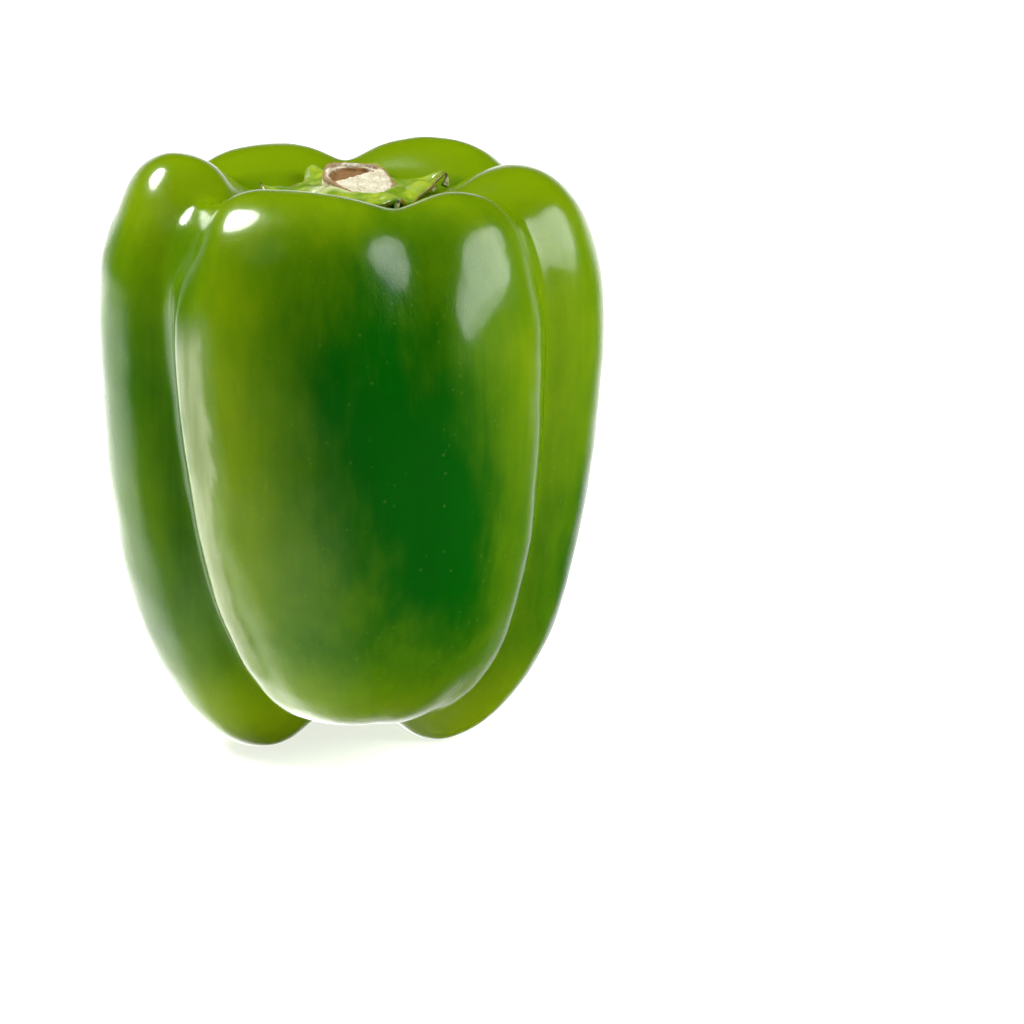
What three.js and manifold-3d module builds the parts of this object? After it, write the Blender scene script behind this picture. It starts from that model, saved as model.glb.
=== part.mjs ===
// A whole bell pepper, standing on its own feet.
// Millimetres, +Z up. The origin is on the surface it stands on, under the middle of its bounding box.
// Azimuths are in degrees, counter-clockwise seen from above, from +X, the right-hand side; 270 is the front.
//
// The fruit grew as one piece: a closed skin with six swellings; the two in front have almost merged.
// The calyx, the green star left by the flower, lies in the hollow between the shoulders, and the stem,
// cut short and dried at its end, comes up through the middle of it.

import * as THREE from "three";
import { mergeVertices } from "three/addons/utils/BufferGeometryUtils.js";
import Module from "manifold-3d";

const wasm = await Module();
wasm.setup();
const { degToRad, lerp, smoothstep, euclideanModulo } = THREE.MathUtils;

// ---------------------------------------------------------------- driving dimensions

const REACH = 45; // from the axis to the widest point of a typical lobe
const SHOULDER = 104; // height of a typical lobe's shoulder
const GAP = 0.3; // clearance between two pieces
const COLUMNS_PER_LOBE = 14;
const CROWDING = 0.35; // how much closer the columns stand beside a furrow: 0 is evenly spaced
const ROWS = 54; // three to each stretch of the section

// The section through a typical lobe, from the blossom end under the fruit to the middle of the hollow on
// top: its radius and height, and how much there is of a furrow's full depth (furrow), of the rounding of its
// bottom (soft), and of a lobe's own foot and shoulder heights (foot, shoulder).
const SECTION = [
  { radius: 0.0, height: 6.4, furrow: 0.0, soft: 1.0, foot: 0.0, shoulder: 0.0 },
  { radius: 5.5, height: 4.8, furrow: 0.15, soft: 0.8, foot: 0.2, shoulder: 0.0 },
  { radius: 10.5, height: 1.3, furrow: 0.45, soft: 0.4, foot: 0.8, shoulder: 0.0 },
  { radius: 15.5, height: 0.0, furrow: 0.7, soft: 0.2, foot: 1.0, shoulder: 0.0 },
  { radius: 21.5, height: 1.5, furrow: 0.9, soft: 0.1, foot: 1.0, shoulder: 0.0 },
  { radius: 27.8, height: 6.2, furrow: 1.0, soft: 0.0, foot: 0.9, shoulder: 0.0 },
  { radius: 34.0, height: 14.5, furrow: 1.0, soft: 0.0, foot: 0.7, shoulder: 0.0 },
  { radius: 39.3, height: 27.5, furrow: 1.0, soft: 0.0, foot: 0.4, shoulder: 0.0 },
  { radius: 43.0, height: 44.0, furrow: 1.0, soft: 0.1, foot: 0.15, shoulder: 0.1 },
  { radius: 44.7, height: 61.0, furrow: 1.0, soft: 0.2, foot: 0.0, shoulder: 0.25 },
  { radius: 45.0, height: 77.0, furrow: 0.95, soft: 0.35, foot: 0.0, shoulder: 0.5 },
  { radius: 43.4, height: 89.5, furrow: 0.9, soft: 0.5, foot: 0.0, shoulder: 0.8 },
  { radius: 39.6, height: 98.3, furrow: 0.85, soft: 0.6, foot: 0.0, shoulder: 0.95 },
  { radius: 33.8, height: 103.0, furrow: 0.8, soft: 0.6, foot: 0.0, shoulder: 1.0 },
  { radius: 27.6, height: 104.0, furrow: 0.75, soft: 0.6, foot: 0.0, shoulder: 1.0 },
  { radius: 22.0, height: 102.2, furrow: 0.6, soft: 0.6, foot: 0.0, shoulder: 0.8 },
  { radius: 17.0, height: 99.2, furrow: 0.4, soft: 0.7, foot: 0.0, shoulder: 0.4 },
  { radius: 10.0, height: 97.4, furrow: 0.1, soft: 0.9, foot: 0.0, shoulder: 0.1 },
  { radius: 0.0, height: 97.0, furrow: 0.0, soft: 1.0, foot: 0.0, shoulder: 0.0 },
];

// Each lobe's middle, its widest reach from the axis, and the heights of its shoulder and of its foot.
// A foot a little below zero is pressed flat where it stands.
const LOBES = [
  { azimuth: -8, reach: 46.4, shoulder: 105.0, foot: -2.0 }, // right
  { azimuth: 57, reach: 44.0, shoulder: 106.0, foot: -1.0 }, // back right
  { azimuth: 124, reach: 44.0, shoulder: 105.2, foot: -1.1 }, // back left
  { azimuth: 191, reach: 46.0, shoulder: 106.6, foot: -1.1 }, // left
  { azimuth: 250, reach: 43.0, shoulder: 103.6, foot: 6.6 }, // front left
  { azimuth: 309, reach: 43.0, shoulder: 104.4, foot: 6.0 }, // front right
];

// The furrow before each lobe, in the same order: the azimuths where it crosses the shoulder and reaches the
// foot, its full depth, how much of that depth is kept down the wall, and in degrees how wide it opens and how
// rounded its bottom is.
const FURROWS = [
  { shoulder: 334, foot: 336, depth: 7.6, wall: 1.0, width: 12, soft: 7 },
  { shoulder: 384, foot: 382, depth: 6.5, wall: 1.0, width: 12, soft: 8 },
  { shoulder: 450, foot: 448, depth: 7.0, wall: 1.0, width: 12, soft: 7 },
  { shoulder: 512, foot: 510, depth: 6.5, wall: 1.0, width: 12, soft: 8 },
  { shoulder: 572, foot: 583, depth: 8.0, wall: 1.0, width: 12, soft: 7 },
  { shoulder: 650, foot: 644, depth: 7.0, wall: 0.1, width: 13, soft: 12 },
];
const SHARPEST = 0.5; // rounding of a furrow's bottom at its sharpest, degrees
const WALL = { from: 4, to: 45 }; // the stretch below the shoulder where a furrow takes its depth on the wall

// The calyx: a thin star that lies on the skin, ribs along its teeth and a collar round the stem.
// Each tooth has an azimuth and reaches out to a radius from the fruit's axis.
const TEETH = [
  { azimuth: -5, reach: 17.2 },
  { azimuth: 32, reach: 19.0 },
  { azimuth: 76, reach: 18.0 },
  { azimuth: 118, reach: 17.4 },
  { azimuth: 184, reach: 17.6 },
  { azimuth: 243, reach: 17.0 },
  { azimuth: 303, reach: 16.8 },
];
// A star has the radius of its notches between two teeth, its thickness, and how far it stops short of the tips.
const BLADE = { notch: 13.2, thick: 1.1, short: 0 };
const RIBS = { notch: 6.0, thick: 2.0, short: 1.6 };
// The collar has a radius at its foot and at its rim, the heights between which it rises, and a rounded edge.
const COLLAR = { foot: 12.0, rim: 7.6, low: 97, top: 100.4, round: 1 };

// The stem's stub stands a little off the axis, ribbed, and a knife has cut across it.
const STEM = { x: 1.9, radius: 6.5, ribDepth: 0.35, ribs: 5, sides: 60, top: 103.4 };
const CUT = { height: 102.0, ahead: 18, aside: 7 }; // where it crosses the stem's axis, and its two slopes
const PITH = { x: -1.6, y: 1.6, height: 102.8, radius: 2.9, narrow: 0.7, depth: 2.2 }; // the hollow it left
const INSIDE = 92; // a height inside the fruit, where the collar and the stem begin before they are trimmed

// ---------------------------------------------------------------- solids and geometries

// A closed geometry as a solid that can be joined and cut.
function solidOf(geometry) {
  const bare = new THREE.BufferGeometry().setAttribute("position", geometry.getAttribute("position"));
  bare.setIndex(geometry.getIndex());
  const merged = mergeVertices(bare, 1e-4);
  return new wasm.Manifold(
    new wasm.Mesh({
      numProp: 3,
      vertProperties: merged.getAttribute("position").array,
      triVerts: new Uint32Array(merged.getIndex().array),
    }),
  );
}

// A solid's surface as a geometry.
function geometryOf(solid) {
  const mesh = solid.getMesh();
  const geometry = new THREE.BufferGeometry();
  geometry.setAttribute("position", new THREE.BufferAttribute(mesh.vertProperties, 3));
  geometry.setIndex(new THREE.BufferAttribute(mesh.triVerts, 1));
  geometry.computeVertexNormals();
  return geometry;
}

// ---------------------------------------------------------------- the fruit

// Two splines carry the section: its outline, and the shares that go with it.
const through = (points) => new THREE.CatmullRomCurve3(points);
const outline = through(SECTION.map((p) => new THREE.Vector3(p.radius, p.height, p.furrow)));
const shares = through(SECTION.map((p) => new THREE.Vector3(p.soft, p.foot, p.shoulder)));

// A lobe value at an azimuth, passing smoothly from one lobe's middle to the next.
function fromLobes(key, azimuth) {
  const past = (lobe) => euclideanModulo(azimuth - lobe.azimuth, 360);
  const a = LOBES.reduce((nearest, lobe) => (past(lobe) < past(nearest) ? lobe : nearest));
  const b = LOBES[(LOBES.indexOf(a) + 1) % LOBES.length];
  const share = past(a) / euclideanModulo(b.azimuth - a.azimuth, 360);
  return lerp(a[key], b[key], smoothstep(share, 0, 1));
}

// How much of a furrow's depth is left at an angle from its bottom: the lobes swell out on both sides of it.
function valley(angle, width, soft) {
  return Math.exp((soft - Math.hypot(angle, soft)) / width);
}

// The azimuth of a furrow at a height.
function furrowAzimuth(furrow, height) {
  return lerp(furrow.foot, furrow.shoulder, smoothstep(height, 0, SHOULDER));
}

// The point of the skin in column u and row v, both from 0 to 1, moved out by grow.
function skinPoint(u, v, grow) {
  const at = outline.getPoint(v);
  const { x: soft, y: footShare, z: shoulderShare } = shares.getPoint(v);
  const along = outline.getTangent(v);

  // columns follow the furrows and stand closer together beside them
  const lobe = Math.min(Math.floor(u * LOBES.length), LOBES.length - 1);
  const across = u * LOBES.length - lobe;
  const from = furrowAzimuth(FURROWS[lobe], at.y);
  const next = (lobe + 1) % LOBES.length;
  const to = furrowAzimuth(FURROWS[next], at.y) + (next === 0 ? 360 : 0);
  const eased = lerp(across, smoothstep(across, 0, 1), CROWDING);
  const degrees = lerp(from, to, eased);

  let depth = 0;
  for (const f of FURROWS) {
    const away = Math.abs(euclideanModulo(degrees - furrowAzimuth(f, at.y) + 180, 360) - 180);
    const onWall = lerp(1, f.wall, smoothstep(SHOULDER - at.y, WALL.from, WALL.to));
    depth += f.depth * onWall * at.z * valley(away, f.width, SHARPEST + f.soft * soft);
  }

  const azimuth = euclideanModulo(degrees, 360);
  const out = grow - depth;
  const length = Math.hypot(along.x, along.y);
  const radius = (at.x * fromLobes("reach", azimuth)) / REACH + (out * along.y) / length;
  const higher = fromLobes("shoulder", azimuth) - SHOULDER;
  const lift = footShare * fromLobes("foot", azimuth) + shoulderShare * higher;
  const height = at.y + lift - (out * along.x) / length;
  const angle = degToRad(degrees);
  const clear = Math.max(radius, 0);
  return new THREE.Vector3(clear * Math.cos(angle), clear * Math.sin(angle), Math.max(height, -grow));
}

// The fruit's skin as a sphere whose grid is moved to the skin's points, grown outwards by grow.
function fruitGeometry(grow) {
  const geometry = new THREE.SphereGeometry(1, COLUMNS_PER_LOBE * LOBES.length, ROWS);
  const places = geometry.getAttribute("position");
  const grid = geometry.getAttribute("uv");
  for (let i = 0; i < places.count; i++) {
    const v = grid.getY(i);
    const onAxis = v < 1e-6 || v > 1 - 1e-6;
    const point = skinPoint(onAxis ? 0 : grid.getX(i) % 1, v, grow);
    if (onAxis) point.setX(0).setY(0);
    places.setXYZ(i, point.x, point.y, point.z);
  }
  geometry.computeVertexNormals();
  return geometry;
}

// ---------------------------------------------------------------- the calyx

// The point at an azimuth and radius on the plan.
function onPlan(azimuth, radius) {
  const angle = degToRad(azimuth);
  return new THREE.Vector3(radius * Math.cos(angle), radius * Math.sin(angle), 0);
}

// A rounded star with a point at each tooth and a notch between each two.
function starShape({ notch, short }) {
  const corners = [];
  TEETH.forEach((tooth, i) => {
    const next = TEETH[(i + 1) % TEETH.length];
    const apart = euclideanModulo(next.azimuth - tooth.azimuth, 360);
    corners.push(onPlan(tooth.azimuth, tooth.reach - short));
    corners.push(onPlan(tooth.azimuth + apart / 4, notch));
    corners.push(onPlan(tooth.azimuth + (apart * 3) / 4, notch));
  });
  const edge = new THREE.CatmullRomCurve3(corners, true, "centripetal").getPoints(corners.length * 4);
  return new THREE.Shape(edge.slice(1).map((p) => new THREE.Vector2(p.x, p.y)));
}

// A star-shaped piece of a layer on the skin. Its underside is still inside the fruit.
function starOnSkin(star) {
  const prism = new THREE.ExtrudeGeometry(starShape(star), { depth: SHOULDER - INSIDE, bevelEnabled: false });
  prism.translate(0, 0, INSIDE);
  return solidOf(fruitGeometry(GAP + star.thick)).intersect(solidOf(prism));
}

// The collar, turned about the stem's axis: its side sweeps up from the blade to a rounded rim.
function collarGeometry() {
  const side = new THREE.CubicBezierCurve(
    new THREE.Vector2(COLLAR.foot, COLLAR.low),
    new THREE.Vector2(COLLAR.rim + 2 * COLLAR.round, COLLAR.top - COLLAR.round),
    new THREE.Vector2(COLLAR.rim + COLLAR.round, COLLAR.top),
    new THREE.Vector2(COLLAR.rim, COLLAR.top),
  );
  const bottom = [new THREE.Vector2(0, INSIDE), new THREE.Vector2(COLLAR.foot, INSIDE)];
  const profile = [...bottom, ...side.getPoints(8), new THREE.Vector2(0, COLLAR.top)];
  return new THREE.LatheGeometry(profile, 40).rotateX(Math.PI / 2).translate(STEM.x, 0, 0);
}

function calyxGeometry() {
  const whole = starOnSkin(BLADE).add(starOnSkin(RIBS)).add(solidOf(collarGeometry()));
  const clearOfFruit = whole.subtract(solidOf(fruitGeometry(GAP)));
  return geometryOf(clearOfFruit.subtract(solidOf(stemGeometry(GAP))));
}

// ---------------------------------------------------------------- the stem

// The stem before it is trimmed, its ribbed side grown outwards by grow.
function stemGeometry(grow) {
  const rim = [];
  for (let i = 0; i < STEM.sides; i++) {
    const angle = (i / STEM.sides) * 2 * Math.PI;
    const radius = STEM.radius + grow + STEM.ribDepth * Math.cos(STEM.ribs * angle);
    rim.push(new THREE.Vector2(radius * Math.cos(angle), radius * Math.sin(angle)));
  }
  const height = { depth: STEM.top - INSIDE, bevelEnabled: false };
  return new THREE.ExtrudeGeometry(new THREE.Shape(rim), height).translate(STEM.x, 0, INSIDE);
}

// The stub as it was left: it stands on the fruit, cut across, with the pith dried out of its middle.
function stubGeometry() {
  const side = 6 * STEM.radius;
  const above = new THREE.BoxGeometry(side, side, side).translate(0, 0, side / 2);
  above.rotateX(degToRad(CUT.ahead)).rotateY(degToRad(CUT.aside)).translate(STEM.x, 0, CUT.height);
  const pith = new THREE.SphereGeometry(1, 24, 16).scale(PITH.radius, PITH.radius * PITH.narrow, PITH.depth);
  pith.translate(STEM.x + PITH.x, PITH.y, PITH.height);
  const standing = solidOf(stemGeometry(0)).subtract(solidOf(fruitGeometry(GAP)));
  return geometryOf(standing.subtract(solidOf(above)).subtract(solidOf(pith)));
}

// ---------------------------------------------------------------- the pepper

function named(name, geometry, look) {
  const mesh = new THREE.Mesh(geometry, new THREE.MeshStandardMaterial({ ...look, metalness: 0 }));
  mesh.name = name;
  return mesh;
}

const skin = fruitGeometry(0);
skin.computeBoundingBox();
const middle = skin.boundingBox.getCenter(new THREE.Vector3());

const pepper = new THREE.Group();
pepper.add(named("fruit", skin, { color: 0x4c7a12, roughness: 0.2 }));
pepper.add(named("calyx", calyxGeometry(), { color: 0x9db84a, roughness: 0.4 }));
pepper.add(named("stem", stubGeometry(), { color: 0xd9d2b0, roughness: 0.8 }));
for (const piece of pepper.children) {
  piece.position.set(-middle.x, -middle.y, 0);
}

export default pepper;
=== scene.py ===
# %% [markdown]
# # A green bell pepper
# A bell pepper is a hollow berry that grew in one piece. Its wall swells between a few furrows, so it
# looks like six cushions tied together. On top, in the hollow between the shoulders, sit the green star
# that the flower left, the calyx, and the cut stub of the stem. The CAD model holds their sizes and
# places; this script gives them a skin, ribs, teeth, cork, colour and gloss.

# %% Load the frame
import math

import bpy
import numpy as np
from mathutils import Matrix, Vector, noise
from mathutils.bvhtree import BVHTree


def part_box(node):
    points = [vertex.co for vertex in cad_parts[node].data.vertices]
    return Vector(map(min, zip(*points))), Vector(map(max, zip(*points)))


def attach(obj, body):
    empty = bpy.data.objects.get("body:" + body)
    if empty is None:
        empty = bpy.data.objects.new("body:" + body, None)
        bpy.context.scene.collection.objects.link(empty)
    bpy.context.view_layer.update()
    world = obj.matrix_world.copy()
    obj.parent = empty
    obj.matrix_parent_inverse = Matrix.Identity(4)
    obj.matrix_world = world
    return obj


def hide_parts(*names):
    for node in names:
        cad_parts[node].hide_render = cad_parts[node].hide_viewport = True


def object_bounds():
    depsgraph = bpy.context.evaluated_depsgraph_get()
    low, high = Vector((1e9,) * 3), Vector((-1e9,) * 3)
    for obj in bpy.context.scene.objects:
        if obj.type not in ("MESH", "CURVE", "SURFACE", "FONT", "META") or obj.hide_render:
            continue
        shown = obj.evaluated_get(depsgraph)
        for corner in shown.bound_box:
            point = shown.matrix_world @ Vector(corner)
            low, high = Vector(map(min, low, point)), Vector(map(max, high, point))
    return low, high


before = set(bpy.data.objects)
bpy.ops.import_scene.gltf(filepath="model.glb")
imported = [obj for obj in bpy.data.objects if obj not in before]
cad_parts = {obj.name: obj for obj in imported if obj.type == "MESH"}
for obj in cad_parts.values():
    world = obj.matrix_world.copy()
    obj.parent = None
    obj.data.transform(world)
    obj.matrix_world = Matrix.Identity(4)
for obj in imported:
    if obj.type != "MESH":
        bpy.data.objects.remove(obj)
cad_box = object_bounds()
low, high = cad_box
print("the CAD pepper measures", [round(side * 1000, 1) for side in high - low], "mm")

# %% [markdown]
# ## Millimetres, and a clean selection
# Blender counts in metres, a pepper is better told in millimetres. Every operator works on whatever is
# selected, so each step starts by selecting one thing only.


# %% Small helpers
MM = 0.001


def only(piece):
    """Select this piece and nothing else."""
    bpy.ops.object.select_all(action="DESELECT")
    piece.select_set(True)
    bpy.context.view_layer.objects.active = piece


def edit(piece, kind="VERT"):
    """Open a piece in edit mode with nothing selected."""
    only(piece)
    bpy.ops.object.mode_set(mode="EDIT")
    bpy.ops.mesh.select_mode(type=kind)
    bpy.ops.mesh.select_all(action="DESELECT")


def close():
    """Leave edit mode."""
    bpy.ops.object.mode_set(mode="OBJECT")


def finish_modifier(piece, kind, **settings):
    """Add a modifier, set it and apply it."""
    only(piece)
    modifier = piece.modifiers.new(kind.title(), kind)
    for name, value in settings.items():
        setattr(modifier, name, value)
    bpy.ops.object.modifier_apply(modifier=modifier.name)


def bell(distance, width):
    """1 in the middle of a soft hump, and nearly 0 at twice its width."""
    return np.exp(-((distance / width) ** 2))


def smooth_steps(value, start, end):
    """0 before start, 1 after end, and an S-shaped way between."""
    share = np.clip((value - start) / (end - start), 0, 1)
    return share * share * (3 - 2 * share)


def places(mesh):
    """The vertex places of a mesh as an array, in millimetres."""
    flat = np.empty(len(mesh.vertices) * 3)
    mesh.vertices.foreach_get("co", flat)
    return flat.reshape(-1, 3) / MM


def put(mesh, where):
    """Move the vertices of a mesh to these places, in millimetres."""
    mesh.vertices.foreach_set("co", (where * MM).ravel())
    mesh.update()


def paint(mesh, name, values):
    """Store one number per vertex, for a material to read."""
    layer = mesh.attributes.get(name) or mesh.attributes.new(name, "FLOAT", "POINT")
    layer.data.foreach_set("value", np.asarray(values, dtype=np.float32))


# %% [markdown]
# ## The camera
# The pepper is seen from the front and a little above, from three quarters of a metre with a long lens,
# so it has almost no perspective. The camera looks past its right side, which leaves the pepper in the
# left part of the picture.

# %% Camera
FAR = 0.75
ABOVE = math.radians(12)
LENS = 149.4
MIDDLE = Vector((0, 0, 52)) * MM
AIM = Vector((29.1, 0, 41.6)) * MM
stand = MIDDLE + FAR * Vector((0, -math.cos(ABOVE), math.sin(ABOVE)))

bpy.ops.object.camera_add(location=stand)
camera = bpy.context.object
camera.name = "camera"
camera.data.lens = LENS
camera.rotation_euler = (AIM - stand).to_track_quat("-Z", "Y").to_euler()
bpy.context.scene.camera = camera
print("camera stands at", [round(c, 3) for c in stand])

# %% [markdown]
# ## Light
# A glossy skin shows its surroundings more than its own colour. Here they are a white studio that is
# dark behind the camera, so the front of the pepper keeps its deep green while its edges catch white.
# A small softbox high on the left gives the two bright spots, and a large dim one on the right gives
# the broad pale ones.


# %% Studio
def towards(azimuth, elevation):
    """The unit direction at an azimuth from +X and an elevation, in degrees."""
    a, e = math.radians(azimuth), math.radians(elevation)
    return Vector((math.cos(a) * math.cos(e), math.sin(a) * math.cos(e), math.sin(e)))


def softbox(name, azimuth, elevation, far, width, tall, watts, shape="RECTANGLE"):
    """An area light that faces the pepper; the camera sees it only as a reflection."""
    place = MIDDLE + far * towards(azimuth, elevation)
    bpy.ops.object.light_add(type="AREA", location=place)
    lamp = bpy.context.object
    lamp.name = name
    lamp.rotation_euler = (MIDDLE - place).to_track_quat("-Z", "Y").to_euler()
    lamp.data.shape = shape
    lamp.data.size, lamp.data.size_y = width, tall
    lamp.data.energy = watts
    lamp.visible_camera = False
    return lamp


BIG_SPOT, SIDE = {"azimuth": 168, "far": 0.9, "shape": "ELLIPSE"}, {"azimuth": -13, "elevation": 27}
key = softbox("key", elevation=51, width=0.36, tall=0.36, watts=9, **BIG_SPOT)
key.visible_glossy = False
glint = softbox("glint", elevation=50, width=0.44, tall=0.44, watts=13, **BIG_SPOT)
glint.visible_diffuse = False
softbox("right_panel", far=0.8, width=0.52, tall=0.4, watts=1.5, **SIDE)
softbox("right_glow", far=0.9, width=0.84, tall=0.66, watts=6.0, shape="ELLIPSE", **SIDE)
softbox(
    "dim_disc", azimuth=-140, elevation=38, far=0.9, width=0.44, tall=0.44, watts=0.12, shape="ELLIPSE"
)
ceiling = softbox("ceiling", azimuth=100, elevation=80, far=1.0, width=1.0, tall=1.0, watts=1.6)
ceiling.visible_glossy = False

FLOOR_SIDE = 6
bpy.ops.mesh.primitive_plane_add(size=FLOOR_SIDE)
floor = bpy.context.object
floor.name = "floor"
floor.visible_glossy = False

# %% [markdown]
# ## Writing a shader as a sum
# A material is a graph of nodes. Wrapping a socket in a small class lets Python's + and * add the Math
# nodes, so that a pattern reads as the sum it is. One method makes every other kind of node.


# %% Shader helpers
class Value:
    """A socket of a shader. Adding, subtracting, multiplying or dividing it adds a Math node."""

    def __init__(self, shader, socket):
        self.shader, self.socket = shader, socket

    def __add__(self, other):
        return self.shader.maths("ADD", self, other)

    def __sub__(self, other):
        return self.shader.maths("SUBTRACT", self, other)

    def __rsub__(self, other):
        return self.shader.maths("SUBTRACT", other, self)

    def __mul__(self, other):
        return self.shader.maths("MULTIPLY", self, other)

    def __truediv__(self, other):
        return self.shader.maths("DIVIDE", self, other)

    __radd__, __rmul__ = __add__, __mul__


class Shader:
    """A material's node tree, or the world's."""

    def __init__(self, owner):
        owner.use_nodes = True
        self.owner, self.tree = owner, owner.node_tree
        self.tree.nodes.clear()

    def node(self, kind, settings=None, sockets=None, give=0):
        """Make a node, set it, then its sockets, and give back one of its outputs."""
        made = self.tree.nodes.new(kind)
        for name, value in (settings or {}).items():
            setattr(made, name, value)
        for key, value in (sockets or {}).items():
            if isinstance(value, Value):
                self.tree.links.new(value.socket, made.inputs[key])
            else:
                made.inputs[key].default_value = value
        return Value(self, made.outputs[give]) if made.outputs else None

    def maths(self, operation, *values):
        """A Math node on two values."""
        return self.node("ShaderNodeMath", {"operation": operation}, dict(enumerate(values)))

    def step(self, value, start, end):
        """0 where value is at start, 1 where it is at end, smooth between; start may be the larger."""
        sockets = {"Value": value, "From Min": start, "From Max": end}
        return self.node("ShaderNodeMapRange", {"interpolation_type": "SMOOTHSTEP"}, sockets)

    def mix(self, share, under, over):
        """Colour over laid on colour under by share."""
        return self.node("ShaderNodeMix", {"data_type": "RGBA"}, {0: share, 6: under, 7: over}, give=2)

    def place(self):
        """The place on the object, in millimetres."""
        here = self.node("ShaderNodeTexCoord", give="Object")
        return self.node("ShaderNodeVectorMath", {"operation": "SCALE"}, {0: here, "Scale": 1 / MM})

    def part(self, vector, axis):
        """One of the three numbers of a place."""
        return self.node("ShaderNodeSeparateXYZ", sockets={0: vector}, give=axis)

    def stretched(self, vector, across, along):
        """The place with its sides and its height divided by these lengths, for a pattern's grain."""
        scale = (1 / across, 1 / across, 1 / along)
        return self.node("ShaderNodeVectorMath", {"operation": "MULTIPLY"}, {0: vector, 1: scale})

    def noise(self, vector, scale=1.0, detail=2.0, rough=0.5, twist=0.0):
        """A soft cloudy pattern from 0 to 1; a scale of 1 gives patches about a millimetre across."""
        sockets = {"Vector": vector, "Scale": scale, "Detail": detail, "Roughness": rough}
        return self.node("ShaderNodeTexNoise", sockets={**sockets, "Distortion": twist})

    def painted(self, name):
        """A number painted on the piece's vertices."""
        return self.node("ShaderNodeAttribute", {"attribute_name": name}, give="Fac")

    def bump(self, height, deep):
        """A relief this many millimetres deep."""
        sockets = {"Height": height, "Distance": deep * MM, "Strength": 1.0}
        return self.node("ShaderNodeBump", sockets=sockets)

    def surface(self, **sockets):
        """Finish a material with a Principled shader; socket names are written with underscores."""
        named = {name.replace("_", " "): value for name, value in sockets.items()}
        shading = self.node("ShaderNodeBsdfPrincipled", sockets=named)
        self.node("ShaderNodeOutputMaterial", sockets={"Surface": shading})
        return self.owner


def ink(red, green, blue):
    """A colour given from 0 to 255 as seen on a screen, as the light it stands for."""
    seen = [c / 255 for c in (red, green, blue)]
    return [*(c / 12.92 if c <= 0.04045 else ((c + 0.055) / 1.055) ** 2.4 for c in seen), 1.0]


# %% [markdown]
# ## The white room and the floor
# The gloss reflects a room that is white low on the left and behind the pepper, and nearly black behind
# the camera. The light that falls on matt surfaces is even, and the camera sees plain white where nothing
# stands. The floor is matt and pale, keeps a soft shadow and turns white towards its far edge.

# %% World and floor
AMBIENT, DARK = 0.13, 0.004
PAPER, SUNLIT, SWEEP = 0.7, 2.3, 1.3
world = bpy.data.worlds.new("studio")
bpy.context.scene.world = world
room = Shader(world)
gaze = room.node("ShaderNodeTexCoord", give="Generated")
right, back, up = (room.part(gaze, axis) for axis in "XYZ")
paper = room.step(right, 0.25, -0.5) * room.step(up, -0.25, -0.65)
sunlit = room.step(back, -0.32, 0.1) * room.step(right, 0.1, -0.3) * room.step(up, -0.92, -0.75)
below_horizon = room.step(up, 0.02, -0.12)
sweep = room.step(back, 0.5, 0.95) * room.step(up, 0.36, 0.0)
mirrored = DARK + PAPER * paper + below_horizon * SUNLIT * sunlit + SWEEP * sweep
rays = room.node("ShaderNodeLightPath", give="Is Glossy Ray")
lit = AMBIENT + rays * (mirrored - AMBIENT)
seen = room.node("ShaderNodeLightPath", give="Is Camera Ray")
strength = lit + seen * (1 - lit)
backdrop = room.node("ShaderNodeBackground", sockets={"Color": (1, 1, 1, 1), "Strength": strength})
room.node("ShaderNodeOutputWorld", sockets={"Surface": backdrop})


NEAR_FLOOR, FAR_FLOOR = 150, 700
FLOOR_GLOW, SEEN_GLOW, FAR_GLOW = 0.3, 0.4, 0.3


def floor_material():
    """Pale matt paper with a glow of its own, so that it never looks grey to the camera."""
    paper = Shader(bpy.data.materials.new("floor_paper"))
    place = paper.place()
    grain = paper.noise(place, scale=0.4)
    white = paper.mix(grain, ink(247, 247, 245), ink(252, 252, 251))
    direct = paper.node("ShaderNodeLightPath", give="Is Camera Ray")
    across, along = paper.part(place, "X"), paper.part(place, "Y")
    distant = paper.step(across * across + along * along, NEAR_FLOOR**2, FAR_FLOOR**2)
    glow = FLOOR_GLOW + direct * (SEEN_GLOW + FAR_GLOW * distant)
    return paper.surface(
        Base_Color=white, Roughness=0.7, Emission_Color=(1, 1, 1, 1), Emission_Strength=glow
    )


floor.data.materials.append(floor_material())
bpy.context.scene.view_settings.view_transform = "Standard"
print("floor", [round(d, 1) for d in floor.dimensions])

# %% [markdown]
# ## The fruit's skin
# The CAD fruit has the right lobes and furrows, but flat facets. Modelling it again by hand would lose
# them, so a copy is welded, its triangles are paired into quads, and two subdivisions round it.

# %% Skin: weld and subdivide the copy
cad_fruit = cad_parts["fruit"]
skin = bpy.data.objects.new("skin", cad_fruit.data.copy())
bpy.context.collection.objects.link(skin)
skin.data.materials.clear()

WELD = 0.001 * MM
PAIRED = math.radians(70)
edit(skin)
bpy.ops.mesh.select_all(action="SELECT")
bpy.ops.mesh.remove_doubles(threshold=WELD)
bpy.ops.mesh.tris_convert_to_quads(face_threshold=PAIRED, shape_threshold=PAIRED)
close()
only(skin)
bpy.ops.mesh.customdata_custom_splitnormals_clear()
print("skin before subdivision:", len(skin.data.polygons), "faces")

# %% [markdown]
# The furrows are darkened as painted shade, so the skin has to know where they are. The mesh is relaxed
# many times on the side: where the relaxed surface stands above the real one there is a hollow, and where
# it lies below there is a crest. That depth is painted on the vertices.

# %% Skin: paint how deep each point lies
RELAXED = 60


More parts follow.
